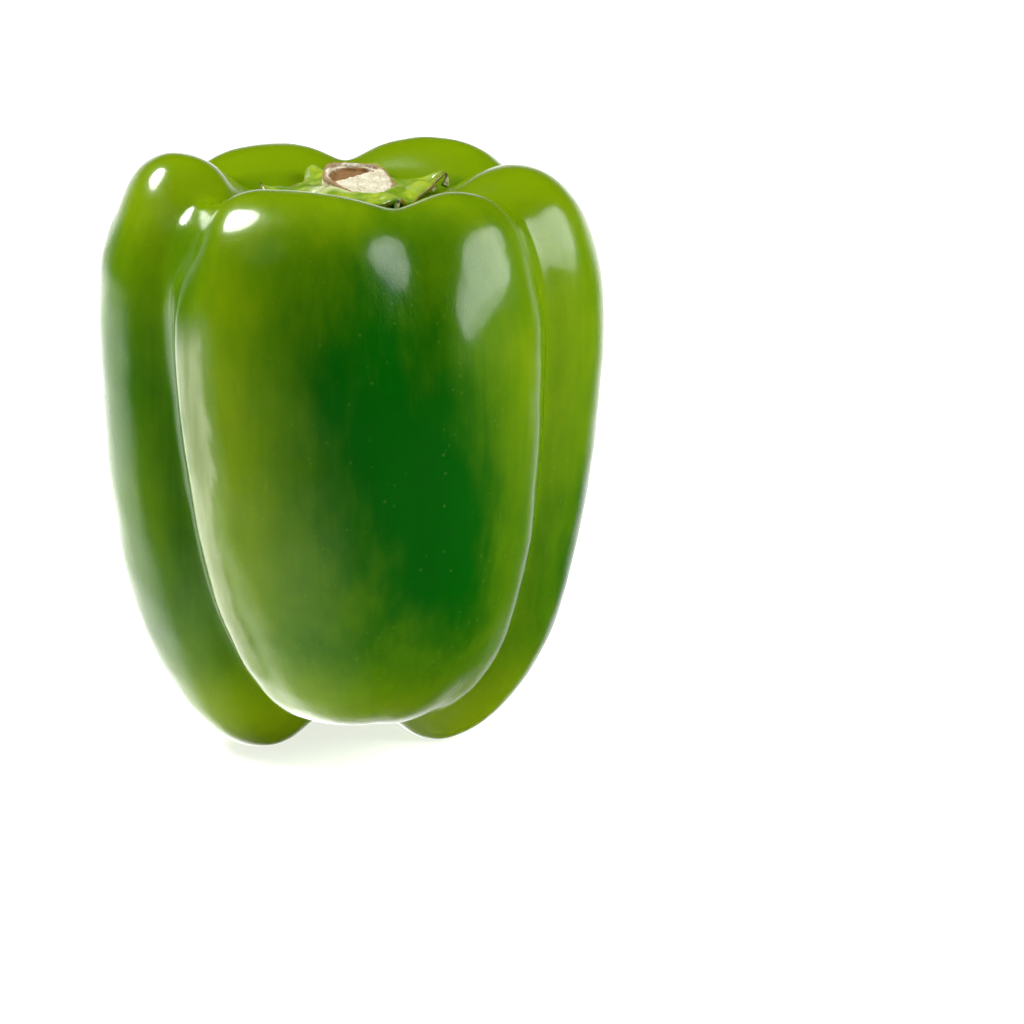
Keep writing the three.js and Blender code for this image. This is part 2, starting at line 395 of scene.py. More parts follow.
def relaxed(mesh, rounds):
    """The places of the vertices after moving each to the middle of its neighbours, many times."""
    ends = np.array([edge.vertices[:] for edge in mesh.edges])
    many = np.bincount(ends.ravel(), minlength=len(mesh.vertices))[:, None]
    where = places(mesh)
    for _ in range(rounds):
        total = np.zeros_like(where)
        np.add.at(total, ends[:, 0], where[ends[:, 1]])
        np.add.at(total, ends[:, 1], where[ends[:, 0]])
        where = total / many
    return where


normals = np.array([vertex.normal[:] for vertex in skin.data.vertices])
depth = ((relaxed(skin.data, RELAXED) - places(skin.data)) * normals).sum(axis=1)
paint(skin.data, "hollow", depth)
print("hollow runs from", round(depth.min(), 1), "to", round(depth.max(), 1), "mm")

finish_modifier(skin, "SUBSURF", levels=2, render_levels=2)

# %% [markdown]
# Nothing that grew is perfectly even. A Displace modifier on soft clouds gives the skin slow swellings,
# and a finer one gives it the slight dents that break up a reflection.


# %% Skin: swellings and dents
def clouds(name, size):
    """A soft cloud texture for a Displace modifier, its patches this many millimetres across."""
    texture = bpy.data.textures.new(name, "CLOUDS")
    texture.noise_scale = size * MM
    return texture


def displace(piece, name, size, deep):
    """Push a piece in and out along its normals by soft clouds, over this many millimetres in all."""
    pattern = clouds(name, size)
    finish_modifier(piece, "DISPLACE", texture=pattern, texture_coords="LOCAL", strength=deep * MM)


displace(skin, "swellings", 24, 0.9)
displace(skin, "dents", 7, 0.22)
print("skin:", len(skin.data.polygons), "faces")

# %% [markdown]
# Some swellings belong to this one pepper, and a modeller would pull them out with proportional editing: a
# fuller shoulder here, a shallower furrow there. Each is a soft ellipse on the wall that moves the skin
# along its normals.


# %% Skin: swellings one by one
def dabbed(where, dabs):
    """The sum of soft ellipses on the wall, each given by its azimuth, height, half sizes and amount."""
    around = np.degrees(np.arctan2(where[:, 1], where[:, 0]))
    total = np.zeros(len(where))
    for azimuth, height, wide, tall, amount in dabs:
        apart = (around - azimuth + 180) % 360 - 180
        total += amount * bell(apart, wide) * bell(where[:, 2] - height, tall)
    return total


SWELLS = (
    # azimuth, height, half the width in degrees, half the height in mm, how far out in mm
    (198, 106, 22, 5, 2.0),
    (184, 97, 16, 7, -0.8),
    (186, 52, 16, 26, -0.8),
    (-8, 84, 18, 20, 1.3),
    (-66, 80, 10, 16, 1.9),
    (-139, 96, 9, 10, -1.9),
    (96, 60, 20, 18, 0.8),
    (150, 40, 14, 20, -0.6),
    (25, 50, 18, 16, 0.7),
)
where = places(skin.data)
normals = np.array([vertex.normal[:] for vertex in skin.data.vertices])
pull = dabbed(where, SWELLS)
print("swellings from", round(pull.min(), 2), "to", round(pull.max(), 2), "mm")

# %% [markdown]
# The deepest furrow, on the left of the front, is a fold: the wall turned in as it grew. Its crease is
# where the painted depth is greatest at each height, and a smooth curve through those places gives its
# azimuth at any height.

# %% Skin: where the fold runs
FOLD_FROM, FOLD_TO = -158, -126
FOLD_LOW, FOLD_HIGH, FOLD_STEP, SLAB = 12, 90, 4, 2.5
BEND_HIGH = 86
hollow = np.empty(len(where))
skin.data.attributes["hollow"].data.foreach_get("value", hollow)
around = np.degrees(np.arctan2(where[:, 1], where[:, 0]))
from_axis = np.hypot(where[:, 0], where[:, 1])
beside = (around > FOLD_FROM) & (around < FOLD_TO)


def slab(height):
    """Which vertices lie about this high."""
    return abs(where[:, 2] - height) < SLAB


heights = np.arange(FOLD_LOW, FOLD_HIGH, FOLD_STEP)
creases = [around[beside & slab(z)][hollow[beside & slab(z)].argmax()] for z in heights]
bend = np.polyfit(heights, creases, 4)
crease = np.polyval(bend, np.clip(where[:, 2], FOLD_LOW, BEND_HIGH))
print("the fold runs along azimuth", [round(float(c)) for c in np.polyval(bend, heights[::4])])

# %% [markdown]
# Beside the crease lies a narrow groove and then a low, wavy ridge. Both are soft humps across the fold,
# and they fade out at its foot and at the shoulder. Two slow noises along the height make the waves.

# %% Skin: the wavy ridge beside the fold
LONG_WAVE, SHORT_WAVE = 11, 4.5
RIDGE_AT, RIDGE_WIDE, RIDGE_HIGH, RIDGE_WAVE, RIDGE_SWAY = 7.4, 2.7, 0.75, 0.5, 1.6
GROOVE_AT, GROOVE_WIDE, GROOVE_DEEP = 1.8, 1.9, 0.6
RIDGE_FOOT, RIDGE_END = (6, 22), (92, 74)
FOLD_MIDDLE, FOLD_REACH = -140, 40


def wavering(length, seed):
    """A slow random number along the height, from -1 to 1, with waves about this long."""
    return np.array([noise.noise(Vector((z / length, seed, 0))) for z in where[:, 2]])


waves, fine_waves = wavering(LONG_WAVE, 0.4), wavering(SHORT_WAVE, 2.1)
across = np.radians(around - crease) * from_axis
ridge = (RIDGE_HIGH + RIDGE_WAVE * waves) * bell(across - RIDGE_AT - RIDGE_SWAY * waves, RIDGE_WIDE)
groove = GROOVE_DEEP * bell(across - GROOVE_AT, GROOVE_WIDE)
along = smooth_steps(where[:, 2], *RIDGE_FOOT) * smooth_steps(where[:, 2], *RIDGE_END)
pull += (ridge - groove) * along * (abs(around - FOLD_MIDDLE) < FOLD_REACH)

# %% [markdown]
# A pale band follows the ridge: a painted reflection of the bright room on the flank. Its place is told
# from the outermost line of the front lobe's flank at each height, and the waves move its two edges. It is
# only painted, for the material to read.

# %% Skin: the painted reflection band
FLANK_TO = -95
BAND_LOW, BAND_HIGH = 8, 96
BAND_START, START_WAVE, START_FINE = 2.0, 0.9, 0.7
BAND_END, END_WAVE, END_FINE = 5.0, 1.9, 0.8
BAND_FOOT, BAND_TOP = (10, 30), (84, 74)
flank = (across > 0) & (around < FLANK_TO)
levels = np.arange(BAND_LOW, BAND_HIGH, FOLD_STEP)
edges = [where[flank & slab(z), 0].min() for z in levels]
aside = where[:, 0] - np.interp(where[:, 2], levels, edges)
starts = BAND_START + START_WAVE * waves + START_FINE * fine_waves
ends = BAND_END + END_WAVE * waves + END_FINE * fine_waves
# painted reflection: a pale band on the flank, for the bright room reflected there
reflection_band = smooth_steps(aside, starts - 0.6, starts + 0.8) * smooth_steps(aside, ends + 0.5, ends - 0.4)
reflection_band *= flank * smooth_steps(where[:, 2], *BAND_FOOT) * smooth_steps(where[:, 2], *BAND_TOP)
print("the waxy band covers", int((reflection_band > 0.5).sum()), "vertices")

# %% [markdown]
# Under the pepper, where the lobes meet, the flower's last trace is left: a small corky scar on a low
# nub. All the pulls are then made at once, and nothing may sink below the floor.

# %% Skin: the scar and all the pulls
SCAR_RADIUS, SCAR_HEIGHT, SCAR_BELOW = 2.2, 0.8, 40
scar = bell((from_axis / SCAR_RADIUS) ** 2, 1) * (where[:, 2] < SCAR_BELOW)
where += normals * (pull + SCAR_HEIGHT * scar)[:, None]
where[:, 2] = np.maximum(where[:, 2], 0)
put(skin.data, where)
only(skin)
bpy.ops.object.shade_smooth()
print("pulled from", round(pull.min(), 2), "to", round(pull.max(), 2), "mm")

# %% [markdown]
# The green is uneven. Partly that is ripeness: deep in places, beginning to yellow in others. Partly it is
# painted shade: the deep dabs on the front right and beside the left fold darken the wall where shade
# falls. A painter would dab these areas on with a soft brush. Here each dab is a soft ellipse on the wall,
# given by its place and size, and their sum is painted on the vertices for the material to read.

# %% Skin: dabs of deeper and yellower green, partly painted shade
DABS = (
    #     azimuth, height, half the width in degrees, half the height in mm, how much yellower (below zero:
    #     deeper green, partly painted shade on the front right and by the left fold)
    # painted shade: this deep dab on the front right also darkens the wall where shade falls
    (-78, 62, 21, 34, -0.85),
    (-60, 40, 20, 30, -0.45),
    (-118, 46, 12, 46, 0.45),
    # painted shade: this deep dab beside the left fold is partly shade
    (-143, 46, 9, 30, -0.4),
    (-88, 100, 26, 6, 0.3),
    (60, 100, 50, 12, 0.4),
    (140, 100, 50, 12, 0.4),
    (-158, 74, 14, 14, -0.22),
    (178, 50, 18, 30, 0.15),
    (-15, 80, 26, 30, 0.5),
    (-5, 34, 20, 20, -0.4),
    (30, 58, 18, 34, -0.35),
    (62, 70, 14, 26, 0.3),
    (88, 44, 18, 34, -0.6),
    (120, 66, 16, 26, 0.25),
    (146, 44, 16, 32, -0.4),
)
# the sum of the dabs holds ripeness and painted shade
ripeness_and_shade = dabbed(places(skin.data), DABS)
paint(skin.data, "ripeness_and_shade", ripeness_and_shade)
paint(skin.data, "scar", scar)
paint(skin.data, "reflection_band", reflection_band)
print("dabs run from", round(ripeness_and_shade.min(), 2), "to", round(ripeness_and_shade.max(), 2))

# %% [markdown]
# The skin is waxy: a clear coat over a slightly rough green. The green itself is deep on the walls, on the
# front right partly as painted shade, and yellower towards the shoulders and in the hollow round the stem,
# with slow mottling and fine streaks that run from stem to blossom end. The feet are painted lighter and
# yellower, as painted light from the pale floor below. The furrows are darkened as painted shade, and a
# pale band beside the left fold is a painted reflection. Tiny pale specks are its pores, and the relief is
# only the fine peel: everything larger is in the mesh.


# %% Skin material
def skin_material():
    """Waxy skin: the green by ripeness and painted shade, painted light at the feet, painted shade in the
    furrows, a painted reflection band, scar and pores.
    """
    shader = Shader(bpy.data.materials.new("pepper_skin"))
    place = shader.place()
    height = shader.part(place, "Z")
    hollow = shader.painted("hollow")
    ripeness_and_shade = shader.painted("ripeness_and_shade")
    mottle = shader.noise(shader.stretched(place, 16, 34), detail=3, rough=0.5, twist=0.4)
    patches = shader.noise(shader.stretched(place, 6, 12), detail=4, rough=0.6)
    streaks = shader.noise(shader.stretched(place, 1.4, 18), detail=4, rough=0.6)

    # the green's tone: ripeness, mottling and streaks, with the painted shade of the dabs; the feet add
    # painted light below
    ripeness_light_and_shade = 0.61 + ripeness_and_shade + (mottle - 0.5) * 1.1 + (patches - 0.5) * 0.35 + (streaks - 0.5) * 0.25
    crown = shader.step(height + (mottle - 0.5) * 10, 92, 104)
    # painted light: the feet are made lighter and yellower, for the light thrown up by the pale floor
    floor_lit_feet = shader.step(height + (mottle - 0.5) * 20, 24, 2)
    ripeness_light_and_shade = ripeness_light_and_shade + crown * 0.5 + floor_lit_feet * 0.35
    deep_green, leaf_green, spring_green = ink(0, 82, 0), ink(80, 120, 0), ink(116, 146, 0)
    green = shader.mix(shader.step(ripeness_light_and_shade, -0.15, 0.7), deep_green, leaf_green)
    green = shader.mix(shader.step(ripeness_light_and_shade, 0.5, 1.3), green, spring_green)
    floor_lit_yellow, furrow_shade_green = ink(146, 168, 0), ink(16, 80, 0)
    # painted light: a lighter yellow laid on the feet
    green = shader.mix(floor_lit_feet * 0.5, green, floor_lit_yellow)
    # painted shade: the furrows are darkened by how deep they lie
    furrow_shade = shader.step(hollow, 0.4, 2.6)
    green = shader.mix(furrow_shade * 0.4, green, furrow_shade_green)

    reflected_pale, corky, pale_pore = ink(196, 206, 158), ink(128, 98, 56), ink(176, 196, 90)
    specks = shader.node(
        "ShaderNodeTexVoronoi", {"feature": "F1"}, {"Vector": place, "Scale": 0.42, "Randomness": 1.0}
    )
    pore = shader.step(specks, 0.16, 0.07)
    # painted reflection: the pale band beside the fold, laid into the colour
    painted_reflection = shader.painted("reflection_band") * (0.25 + 0.5 * streaks)
    green = shader.mix(painted_reflection, green, reflected_pale)
    scar = shader.step(shader.painted("scar") + (patches - 0.5) * 0.4, 0.3, 0.6)
    green = shader.mix(scar * 0.9, green, corky)
    green = shader.mix(pore * 0.05, green, pale_pore)

    peel = shader.noise(place, scale=2.6, detail=2, rough=0.5)
    grooves = shader.noise(shader.stretched(place, 0.9, 9), detail=3)
    relief = shader.bump(peel * 0.6 + grooves * 0.5 + pore * 0.1, deep=0.08)
    return shader.surface(
        Base_Color=green,
        Roughness=0.2 + patches * 0.06,
        IOR=1.42,
        Specular_IOR_Level=0.12,
        Subsurface_Weight=0.1,
        Subsurface_Radius=(0.7, 1.0, 0.1),
        Subsurface_Scale=3 * MM,
        Coat_Weight=0.85,
        Coat_Roughness=0.13,
        Coat_IOR=1.42,
        Normal=relief,
    )


skin.data.materials.append(skin_material())
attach(skin, "root")
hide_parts("fruit")

# %% [markdown]
# ## Where the skin lies
# The calyx follows the hollow between the shoulders, so the height of the skin is needed at any point on
# the plan. A ray dropped from above finds it. The stem stands a little beside the middle of the calyx.

# %% Height of the skin
under = BVHTree.FromObject(skin, bpy.context.evaluated_depsgraph_get())
stem_low, stem_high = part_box("stem")
STEM = (stem_low + stem_high) / 2 / MM
STEM_RADIUS = (stem_high.x - stem_low.x) / 2 / MM
STEM_ASIDE, ABOVE_ALL = 1.9, 150
AXIS = Vector((STEM.x - STEM_ASIDE, STEM.y, 0))


def skin_height(x, y):
    """The height of the skin above a point on the plan, in millimetres."""
    return under.ray_cast(Vector((x, y, ABOVE_ALL)) * MM, Vector((0, 0, -1)))[0].z / MM


print("stem stands at", round(STEM.x, 1), round(STEM.y, 1), "and is", round(2 * STEM_RADIUS, 1), "mm wide")

# %% [markdown]
# ## The calyx
# The calyx was the cup of the flower. It is a thick, glossy, lumpy star: a collar round the stem, a blade
# that lies on the skin and seven teeth with a rib each. A modeller would lay a ring on the plan, extrude
# it outwards ring after ring, and then press it onto the fruit. This cell makes the flat rings with the
# operators, and the next ones press them on.

# %% Calyx: rings on the plan
TEETH = (
    # azimuth, reach, width of the tooth in degrees, how far its tip lifts off the skin
    (-6, 15.2, 9, 0.3),
    (24, 19.2, 9, 1.8),
    (72, 17.4, 9, 0.4),
    (114, 16.4, 9, 1.1),
    (183, 15.4, 11, 0.5),
    (244, 15.8, 9, 0.3),
    (304, 15.2, 10, 0.4),
)
COLUMNS, RINGS = 132, 16
UNDER_STEM = 0.6
INNER = STEM_RADIUS - UNDER_STEM
only(skin)
bpy.ops.mesh.primitive_circle_add(
    vertices=COLUMNS, radius=INNER * MM, fill_type="NOTHING", location=(STEM.x * MM, STEM.y * MM, 0)
)
calyx = bpy.context.object
calyx.name = "calyx_star"
bpy.ops.object.transform_apply(location=True)
edit(calyx)
bpy.ops.mesh.select_all(action="SELECT")
centre = Vector((STEM.x, STEM.y, 0)) * MM
for ring in range(RINGS):
    wider = (INNER + (ring + 1) / RINGS) / (INNER + ring / RINGS)
    bpy.ops.mesh.extrude_edges_move()
    bpy.ops.transform.resize(value=(wider, wider, 1), center_override=centre)
close()
print("calyx:", len(calyx.data.polygons), "faces in", RINGS, "rings")


# %% [markdown]
# The edge of the star runs in and out: it is a round notch everywhere, and grows to each tooth. A share
# tells how far out a vertex lies, 0 at the collar and 1 at the edge. On one side the collar swells into
# a pale dome that climbs up the stem.


# %% Calyx: its edge and its dome
NOTCH = 12.4
EDGE_WAVE, EDGE_WAVES, EDGE_TURN = 0.7, 2.6, 9
DOME_AZIMUTH, DOME_WIDTH, DOME_HEIGHT, DOME_END = 218, 44, 1.5, 0.55
COLLAR_START = 0.05


def turned(azimuth, other):
    """How far apart two azimuths are, in degrees."""
    return abs((azimuth - other + 180) % 360 - 180)


def unevenness(x, y, size):
    """A slow random number from -1 to 1, the same at each run."""
    return noise.noise(Vector((x, y, 7.3)) / size)


def star_edge(azimuth):
    """The radius of the calyx's edge, from the fruit's axis."""
    angle = math.radians(azimuth)
    grow = max(
        (reach - NOTCH) * math.exp(-((turned(azimuth, at) / wide) ** 1.5)) for at, reach, wide, _ in TEETH
    )
    wander = unevenness(math.cos(angle) * EDGE_TURN, math.sin(angle) * EDGE_TURN, EDGE_WAVES)
    return NOTCH + grow + EDGE_WAVE * wander


def dome(share, azimuth):
    """1 on the pale swelling where the collar climbs up the stem, 0 away from it."""
    inwards = float(1 - smooth_steps(share, COLLAR_START, DOME_END))
    return bell(turned(azimuth, DOME_AZIMUTH), DOME_WIDTH) * inwards


print("the edge is", round(min(star_edge(a) for a in range(360)), 1), "to", end=" ")
print(round(max(star_edge(a) for a in range(360)), 1), "mm from the axis")

# %% [markdown]
# The height of the upper side is the skin's height plus what lies on it: the collar and its dome, the
# blade, which thins towards the edge and is fuller at the back right, a rib along each tooth, lumps of
# two sizes, and the lift of the tooth's tip.


# %% Calyx: the height of its upper side
COLLAR_HEIGHT, COLLAR_END = 0.2, 0.5
BLADE_INNER, BLADE_RISE, BLADE_THINS = 1.0, 0.5, 1.0
FULLER_AT, FULLER_WIDTH, FULLER = 52, 34, 1.3
RIB_WIDTH, RIB_HEIGHT = 5.5, 0.7
LIFT_WIDTH, LIFT_FROM = 8, 0.7
LUMPS = ((2.1, 0.55), (0.9, 0.26))


def blade_height(share, azimuth):
    """How thick the blade is, with its fuller side."""
    blade = BLADE_INNER + BLADE_RISE * float(smooth_steps(share, 0, 0.3)) - BLADE_THINS * share**3
    return blade + FULLER * bell(turned(azimuth, FULLER_AT), FULLER_WIDTH) * (1 - 0.6 * share)


def calyx_point(share, azimuth):
    """The place of the calyx's upper side, from the collar (share 0) to the edge (share 1)."""
    angle = math.radians(azimuth)
    reach = INNER + (star_edge(azimuth) - INNER) * share
    x = STEM.x * (1 - share) + AXIS.x * share + reach * math.cos(angle)
    y = STEM.y + reach * math.sin(angle)
    rib = max(bell(turned(azimuth, at), RIB_WIDTH) for at, _, _, _ in TEETH)
    lift = max(high * bell(turned(azimuth, at), LIFT_WIDTH) for at, _, _, high in TEETH)
    collar = COLLAR_HEIGHT * float(1 - smooth_steps(share, COLLAR_START, COLLAR_END))
    lumps = sum(high * unevenness(x, y, size) for size, high in LUMPS)
    lumps *= float(smooth_steps(share, 0, 0.25) * (1 - smooth_steps(share, 0.85, 1)))
    height = skin_height(x, y) + blade_height(share, azimuth) + collar + DOME_HEIGHT * dome(share, azimuth)
    height += rib * RIB_HEIGHT * share * (1.6 - share) + lumps
    return x, y, height + lift * float(smooth_steps(share, LIFT_FROM, 1))


# %% [markdown]
# Now every vertex goes to its place. What the finish needs later is painted at the same time: how far
# out a vertex lies, the dome, and a stretch of the edge that has dried brown. Solidify gives the star its
# thickness and a subdivision rounds it.

# %% Calyx: press the rings onto the fruit
DRY_AZIMUTH, DRY_WIDTH, DRY_SHARE, DRY_REACH = 152, 16, 0.82, 0.09
THICKNESS = 0.9
flat = places(calyx.data)
pressed = flat.copy()
shares, domes, dry_edge = np.zeros(len(flat)), np.zeros(len(flat)), np.zeros(len(flat))
for i, (x, y, _) in enumerate(flat):
    out = math.hypot(x - STEM.x, y - STEM.y)
    azimuth = math.degrees(math.atan2(y - STEM.y, x - STEM.x))
    shares[i] = min(max(out - INNER, 0), 1)
    domes[i] = dome(shares[i], azimuth)
    dry_edge[i] = bell(turned(azimuth, DRY_AZIMUTH), DRY_WIDTH) * bell(shares[i] - DRY_SHARE, DRY_REACH)
    pressed[i] = calyx_point(shares[i], azimuth)
put(calyx.data, pressed)
for name, values in (("outward", shares), ("dome", domes), ("dry_edge", dry_edge)):
    paint(calyx.data, name, values)
finish_modifier(calyx, "SOLIDIFY", thickness=THICKNESS * MM, offset=-1.0)
finish_modifier(calyx, "SUBSURF", levels=2, render_levels=2)
only(calyx)
bpy.ops.object.shade_smooth()
print("calyx:", len(calyx.data.polygons), "faces, top at", round(places(calyx.data)[:, 2].max(), 1), "mm")

# %% [markdown]
# ## The dried tips
# Each tooth ended in the thin tip of a sepal. Cut off from the plant, the tips dry first: they shrink,
# curl up and turn from pale to nearly black. Each is a small ring extruded along a curl and narrowed at
# every step. They have different lengths and bends, and the tooth on the left ends in a small fork.

# %% Tips: their places and the way they point
TIPS = (
    # azimuth, radius of the root, thickness, length, first slope and curl in degrees
    (-6, 14.6, 0.7, 1.2, 20, 40),
    (23, 18.4, 0.9, 2.4, 65, 30),
    (72, 16.8, 0.7, 1.4, 25, 60),
    (114, 15.8, 0.8, 1.9, 35, 35),
    (179, 14.6, 0.5, 1.9, 55, 30),
    (188, 14.8, 0.45, 1.7, 30, 30),
    (244, 15.2, 0.7, 1.3, 10, 60),
    (304, 14.7, 0.7, 1.3, 20, 70),
)
SIDES, STEPS = 10, 8
ROOT_ABOVE_SKIN, SWAY, SWAY_SIZE = 0.9, 0.35, 3
NARROWER, LAST_NARROWER = 0.86, 0.4


def pointing(angle, rise):
    """The unit direction with this azimuth and slope, in radians."""
    return Vector((math.cos(angle) * math.cos(rise), math.sin(angle) * math.cos(rise), math.sin(rise)))


# %% Tips: extrude each along its curl
def tip(azimuth, root, thick, long, slope, curl):
    """One curled, tapering tip on the calyx's edge."""
    angle = math.radians(azimuth)
    x, y = AXIS.x + root * math.cos(angle), AXIS.y + root * math.sin(angle)
    here = Vector((x, y, skin_height(x, y) + ROOT_ABOVE_SKIN))
    rise = math.radians(slope)
    bpy.ops.object.select_all(action="DESELECT")
    bpy.ops.mesh.primitive_circle_add(
        vertices=SIDES,
        radius=thick * MM,
        fill_type="NGON",
        location=here * MM,
        rotation=pointing(angle, rise).to_track_quat("Z", "Y").to_euler(),
    )
    made = bpy.context.object
    bpy.ops.object.transform_apply(location=True, rotation=True)
    edit(made)
    bpy.ops.mesh.select_all(action="SELECT")
    side = Vector((-math.sin(angle), math.cos(angle), 0))
    for step in range(STEPS):
        rise += math.radians(curl / STEPS)
        heading = pointing(angle, rise) + side * SWAY * unevenness(x + step, y, SWAY_SIZE)
        move = heading.normalized() * long / STEPS
        here += move
        narrower = NARROWER if step < STEPS - 1 else LAST_NARROWER
        bpy.ops.mesh.extrude_region_move(TRANSFORM_OT_translate={"value": move * MM})
        bpy.ops.transform.resize(value=(narrower,) * 3, center_override=here * MM)
    close()
    order = np.arange(len(made.data.vertices)) // SIDES
    paint(made.data, "dried", np.clip(order / STEPS, 0, 1))
    return made


made_tips = [tip(*numbers) for numbers in TIPS]
print("tips:", len(made_tips))

# %% [markdown]
# The tips become one piece. Its normals are made to point outwards, a subdivision rounds it and a small
# displacement shrivels it.

# %% Tips: join and finish
bpy.ops.object.select_all(action="DESELECT")
for piece in made_tips:
    piece.select_set(True)
bpy.context.view_layer.objects.active = made_tips[0]
bpy.ops.object.join()
tips = bpy.context.object
tips.name = "calyx_tips"
edit(tips)
bpy.ops.mesh.select_all(action="SELECT")
bpy.ops.mesh.normals_make_consistent(inside=False)
close()
finish_modifier(tips, "SUBSURF", levels=2, render_levels=2)
displace(tips, "shrivel", 0.8, 0.35)
only(tips)
bpy.ops.object.shade_smooth()
print("tips:", len(tips.data.polygons), "faces")

# %% [markdown]
# ## The stem
# The stem was cut with a knife, close above the calyx. The cut face has dried: its rim is corky and
# pale, the front part of the cut is a separate, steeper slice, and the soft pith behind it has sunk and
# browned. The stub starts as a cylinder extruded upwards from a circle, a little wider than the CAD one,
# with five faint ribs and a slight waist.

# %% Stem: a ribbed stub
SEGMENTS, LAYERS = 60, 8
BASE, TOP = 97.6, 104.2
WIDER, RIBS, RIB_TURN = 0.3, 5, 0.6
RIB_DEEP, ROUGH_DEEP, ROUGH_SIZE, WAIST = 0.045, 0.03, 1.5, 0.05
layer_up = (0, 0, (TOP - BASE) / LAYERS * MM)
bpy.ops.object.select_all(action="DESELECT")
bpy.ops.mesh.primitive_circle_add(
    vertices=SEGMENTS,
    radius=(STEM_RADIUS + WIDER) * MM,
    fill_type="NGON",
    location=(STEM.x * MM, STEM.y * MM, BASE * MM),
)
stem = bpy.context.object
stem.name = "stem_stub"
bpy.ops.object.transform_apply(location=True)
edit(stem)
bpy.ops.mesh.select_all(action="SELECT")
for layer in range(LAYERS):
    bpy.ops.mesh.extrude_region_move(TRANSFORM_OT_translate={"value": layer_up})
close()

where = places(stem.data)
for i, (x, y, z) in enumerate(where):
    angle = math.atan2(y - STEM.y, x - STEM.x)
    rough = unevenness(math.cos(angle) * 3, math.sin(angle) * 3 + z, ROUGH_SIZE)
    rib = 1 + RIB_DEEP * math.cos(RIBS * angle + RIB_TURN) + ROUGH_DEEP * rough
    waist = 1 - WAIST * math.sin(math.pi * (z - BASE) / (TOP - BASE))
    where[i, :2] = STEM.x + (x - STEM.x) * rib * waist, STEM.y + (y - STEM.y) * rib * waist
put(stem.data, where)
print("stem: a cylinder with", len(where), "vertices")

# %% [markdown]
# Bisect slices it twice through one point in its middle, first nearly flat and then steeply at the front.


# %% Stem: two cuts
def slice_off(piece, through, normal):
    """Cut a piece with a plane and leave the side behind it, closed by a new face."""
    edit(piece, "FACE")
    bpy.ops.mesh.select_all(action="SELECT")
    bpy.ops.mesh.bisect(plane_co=through * MM, plane_no=normal, use_fill=True, clear_outer=True)
    close()


long_cut = Vector((0.10, -0.22, 1)).normalized()
short_cut = Vector((0.30, -0.42, 1)).normalized()
middle = Vector((STEM.x, STEM.y, 101.6))
slice_off(stem, middle, long_cut)
slice_off(stem, middle, short_cut)
print("stem: cut at", round(middle.z, 1), "mm")

# %% [markdown]
# The pith is the middle of the long cut: its face is picked by its normal, inset and pushed down, twice,
# which leaves a sloping wall round it.

# %% Stem: the sunken pith
SAME_WAY = 0.995
PITH_STEPS = (1.0, 0.8)
PITH_DEEPER = (0, 0, -0.45 * MM)
only(stem)
for part in (stem.data.vertices, stem.data.edges, stem.data.polygons):
    part.foreach_set("select", [False] * len(part))
for face in stem.data.polygons:
    face.select = face.normal.dot(long_cut) > SAME_WAY
bpy.ops.object.mode_set(mode="EDIT")
bpy.ops.mesh.select_mode(type="FACE")
for rim in PITH_STEPS:
    bpy.ops.mesh.inset(thickness=rim * MM, use_even_offset=False)
    bpy.ops.mesh.extrude_region_move(TRANSFORM_OT_translate={"value": PITH_DEEPER})
close()
print("stem:", len(stem.data.polygons), "faces before the remesh")

# %% [markdown]
# A voxel remesh makes the stub fine enough to carry the grain of cork, which two displacements give it,
# after a little smoothing has taken the sharpness off the cuts.

# %% Stem: remesh and grain
VOXEL = 0.16
finish_modifier(stem, "REMESH", mode="VOXEL", voxel_size=VOXEL * MM)
finish_modifier(stem, "SMOOTH", factor=0.6, iterations=3)
displace(stem, "cork", 1.1, 0.45)
displace(stem, "cork_grain", 0.35, 0.16)
only(stem)
bpy.ops.object.shade_smooth()
print("stem:", len(stem.data.polygons), "faces")

# %% [markdown]
# ## Finishes of the calyx and the tips
# The calyx is thick and glossy: nearly white with fine green specks on its dome, yellow-green with dark
# pits on the blade, and brown where its edge has begun to dry. The tips go from that green through a
# pale straw to almost black.


# %% Calyx material
def calyx_material():
    """Thick glossy green, by how far out it lies and what was painted on it."""
    shader = Shader(bpy.data.materials.new("calyx_green"))
    place = shader.place()
    outward = shader.painted("outward")
    blotch = shader.noise(place, scale=0.28, detail=3, twist=0.5)
    fine = shader.noise(place, scale=1.6, detail=3, rough=0.6)
    dark_blade, bright_blade = ink(100, 140, 6), ink(166, 188, 44)
    green = shader.mix(shader.step(blotch, 0.33, 0.7), dark_blade, bright_blade)

    cream, fleck, pit = ink(216, 224, 168), ink(160, 182, 92), ink(96, 112, 20)
    speck = shader.noise(place, scale=3.4, detail=2, rough=0.6)
    pale = shader.step(shader.painted("dome") + (blotch - 0.5) * 0.3, 0.25, 0.6)
    white = shader.mix(shader.step(speck, 0.5, 0.64) * 0.6, cream, fleck)
    green = shader.mix(pale * 0.9, green, white)
    pitted = shader.step(speck, 0.62, 0.7) * shader.step(outward, 0.6, 0.35)
    green = shader.mix(pitted * 0.5, green, pit)

    crease_brown, rim_brown = ink(120, 84, 34), ink(122, 88, 40)
    dry = shader.step(outward + (fine - 0.5) * 0.12, 0.93, 1.0) * shader.step(blotch, 0.35, 0.6)
    green = shader.mix(shader.step(shader.painted("dry_edge"), 0.3, 0.7) * 0.8, green, crease_brown)
    green = shader.mix(dry, green, rim_brown)
    relief = shader.bump(fine * 0.5 + blotch * 0.5, deep=0.25)
    return shader.surface(
        Base_Color=green,
        Roughness=0.3 + fine * 0.15,
        IOR=1.4,
        Subsurface_Weight=0.2,
        Subsurface_Radius=(0.8, 1.0, 0.3),
        Subsurface_Scale=1.5 * MM,
        Coat_Weight=0.5,
        Coat_Roughness=0.1,
        Normal=relief,
    )


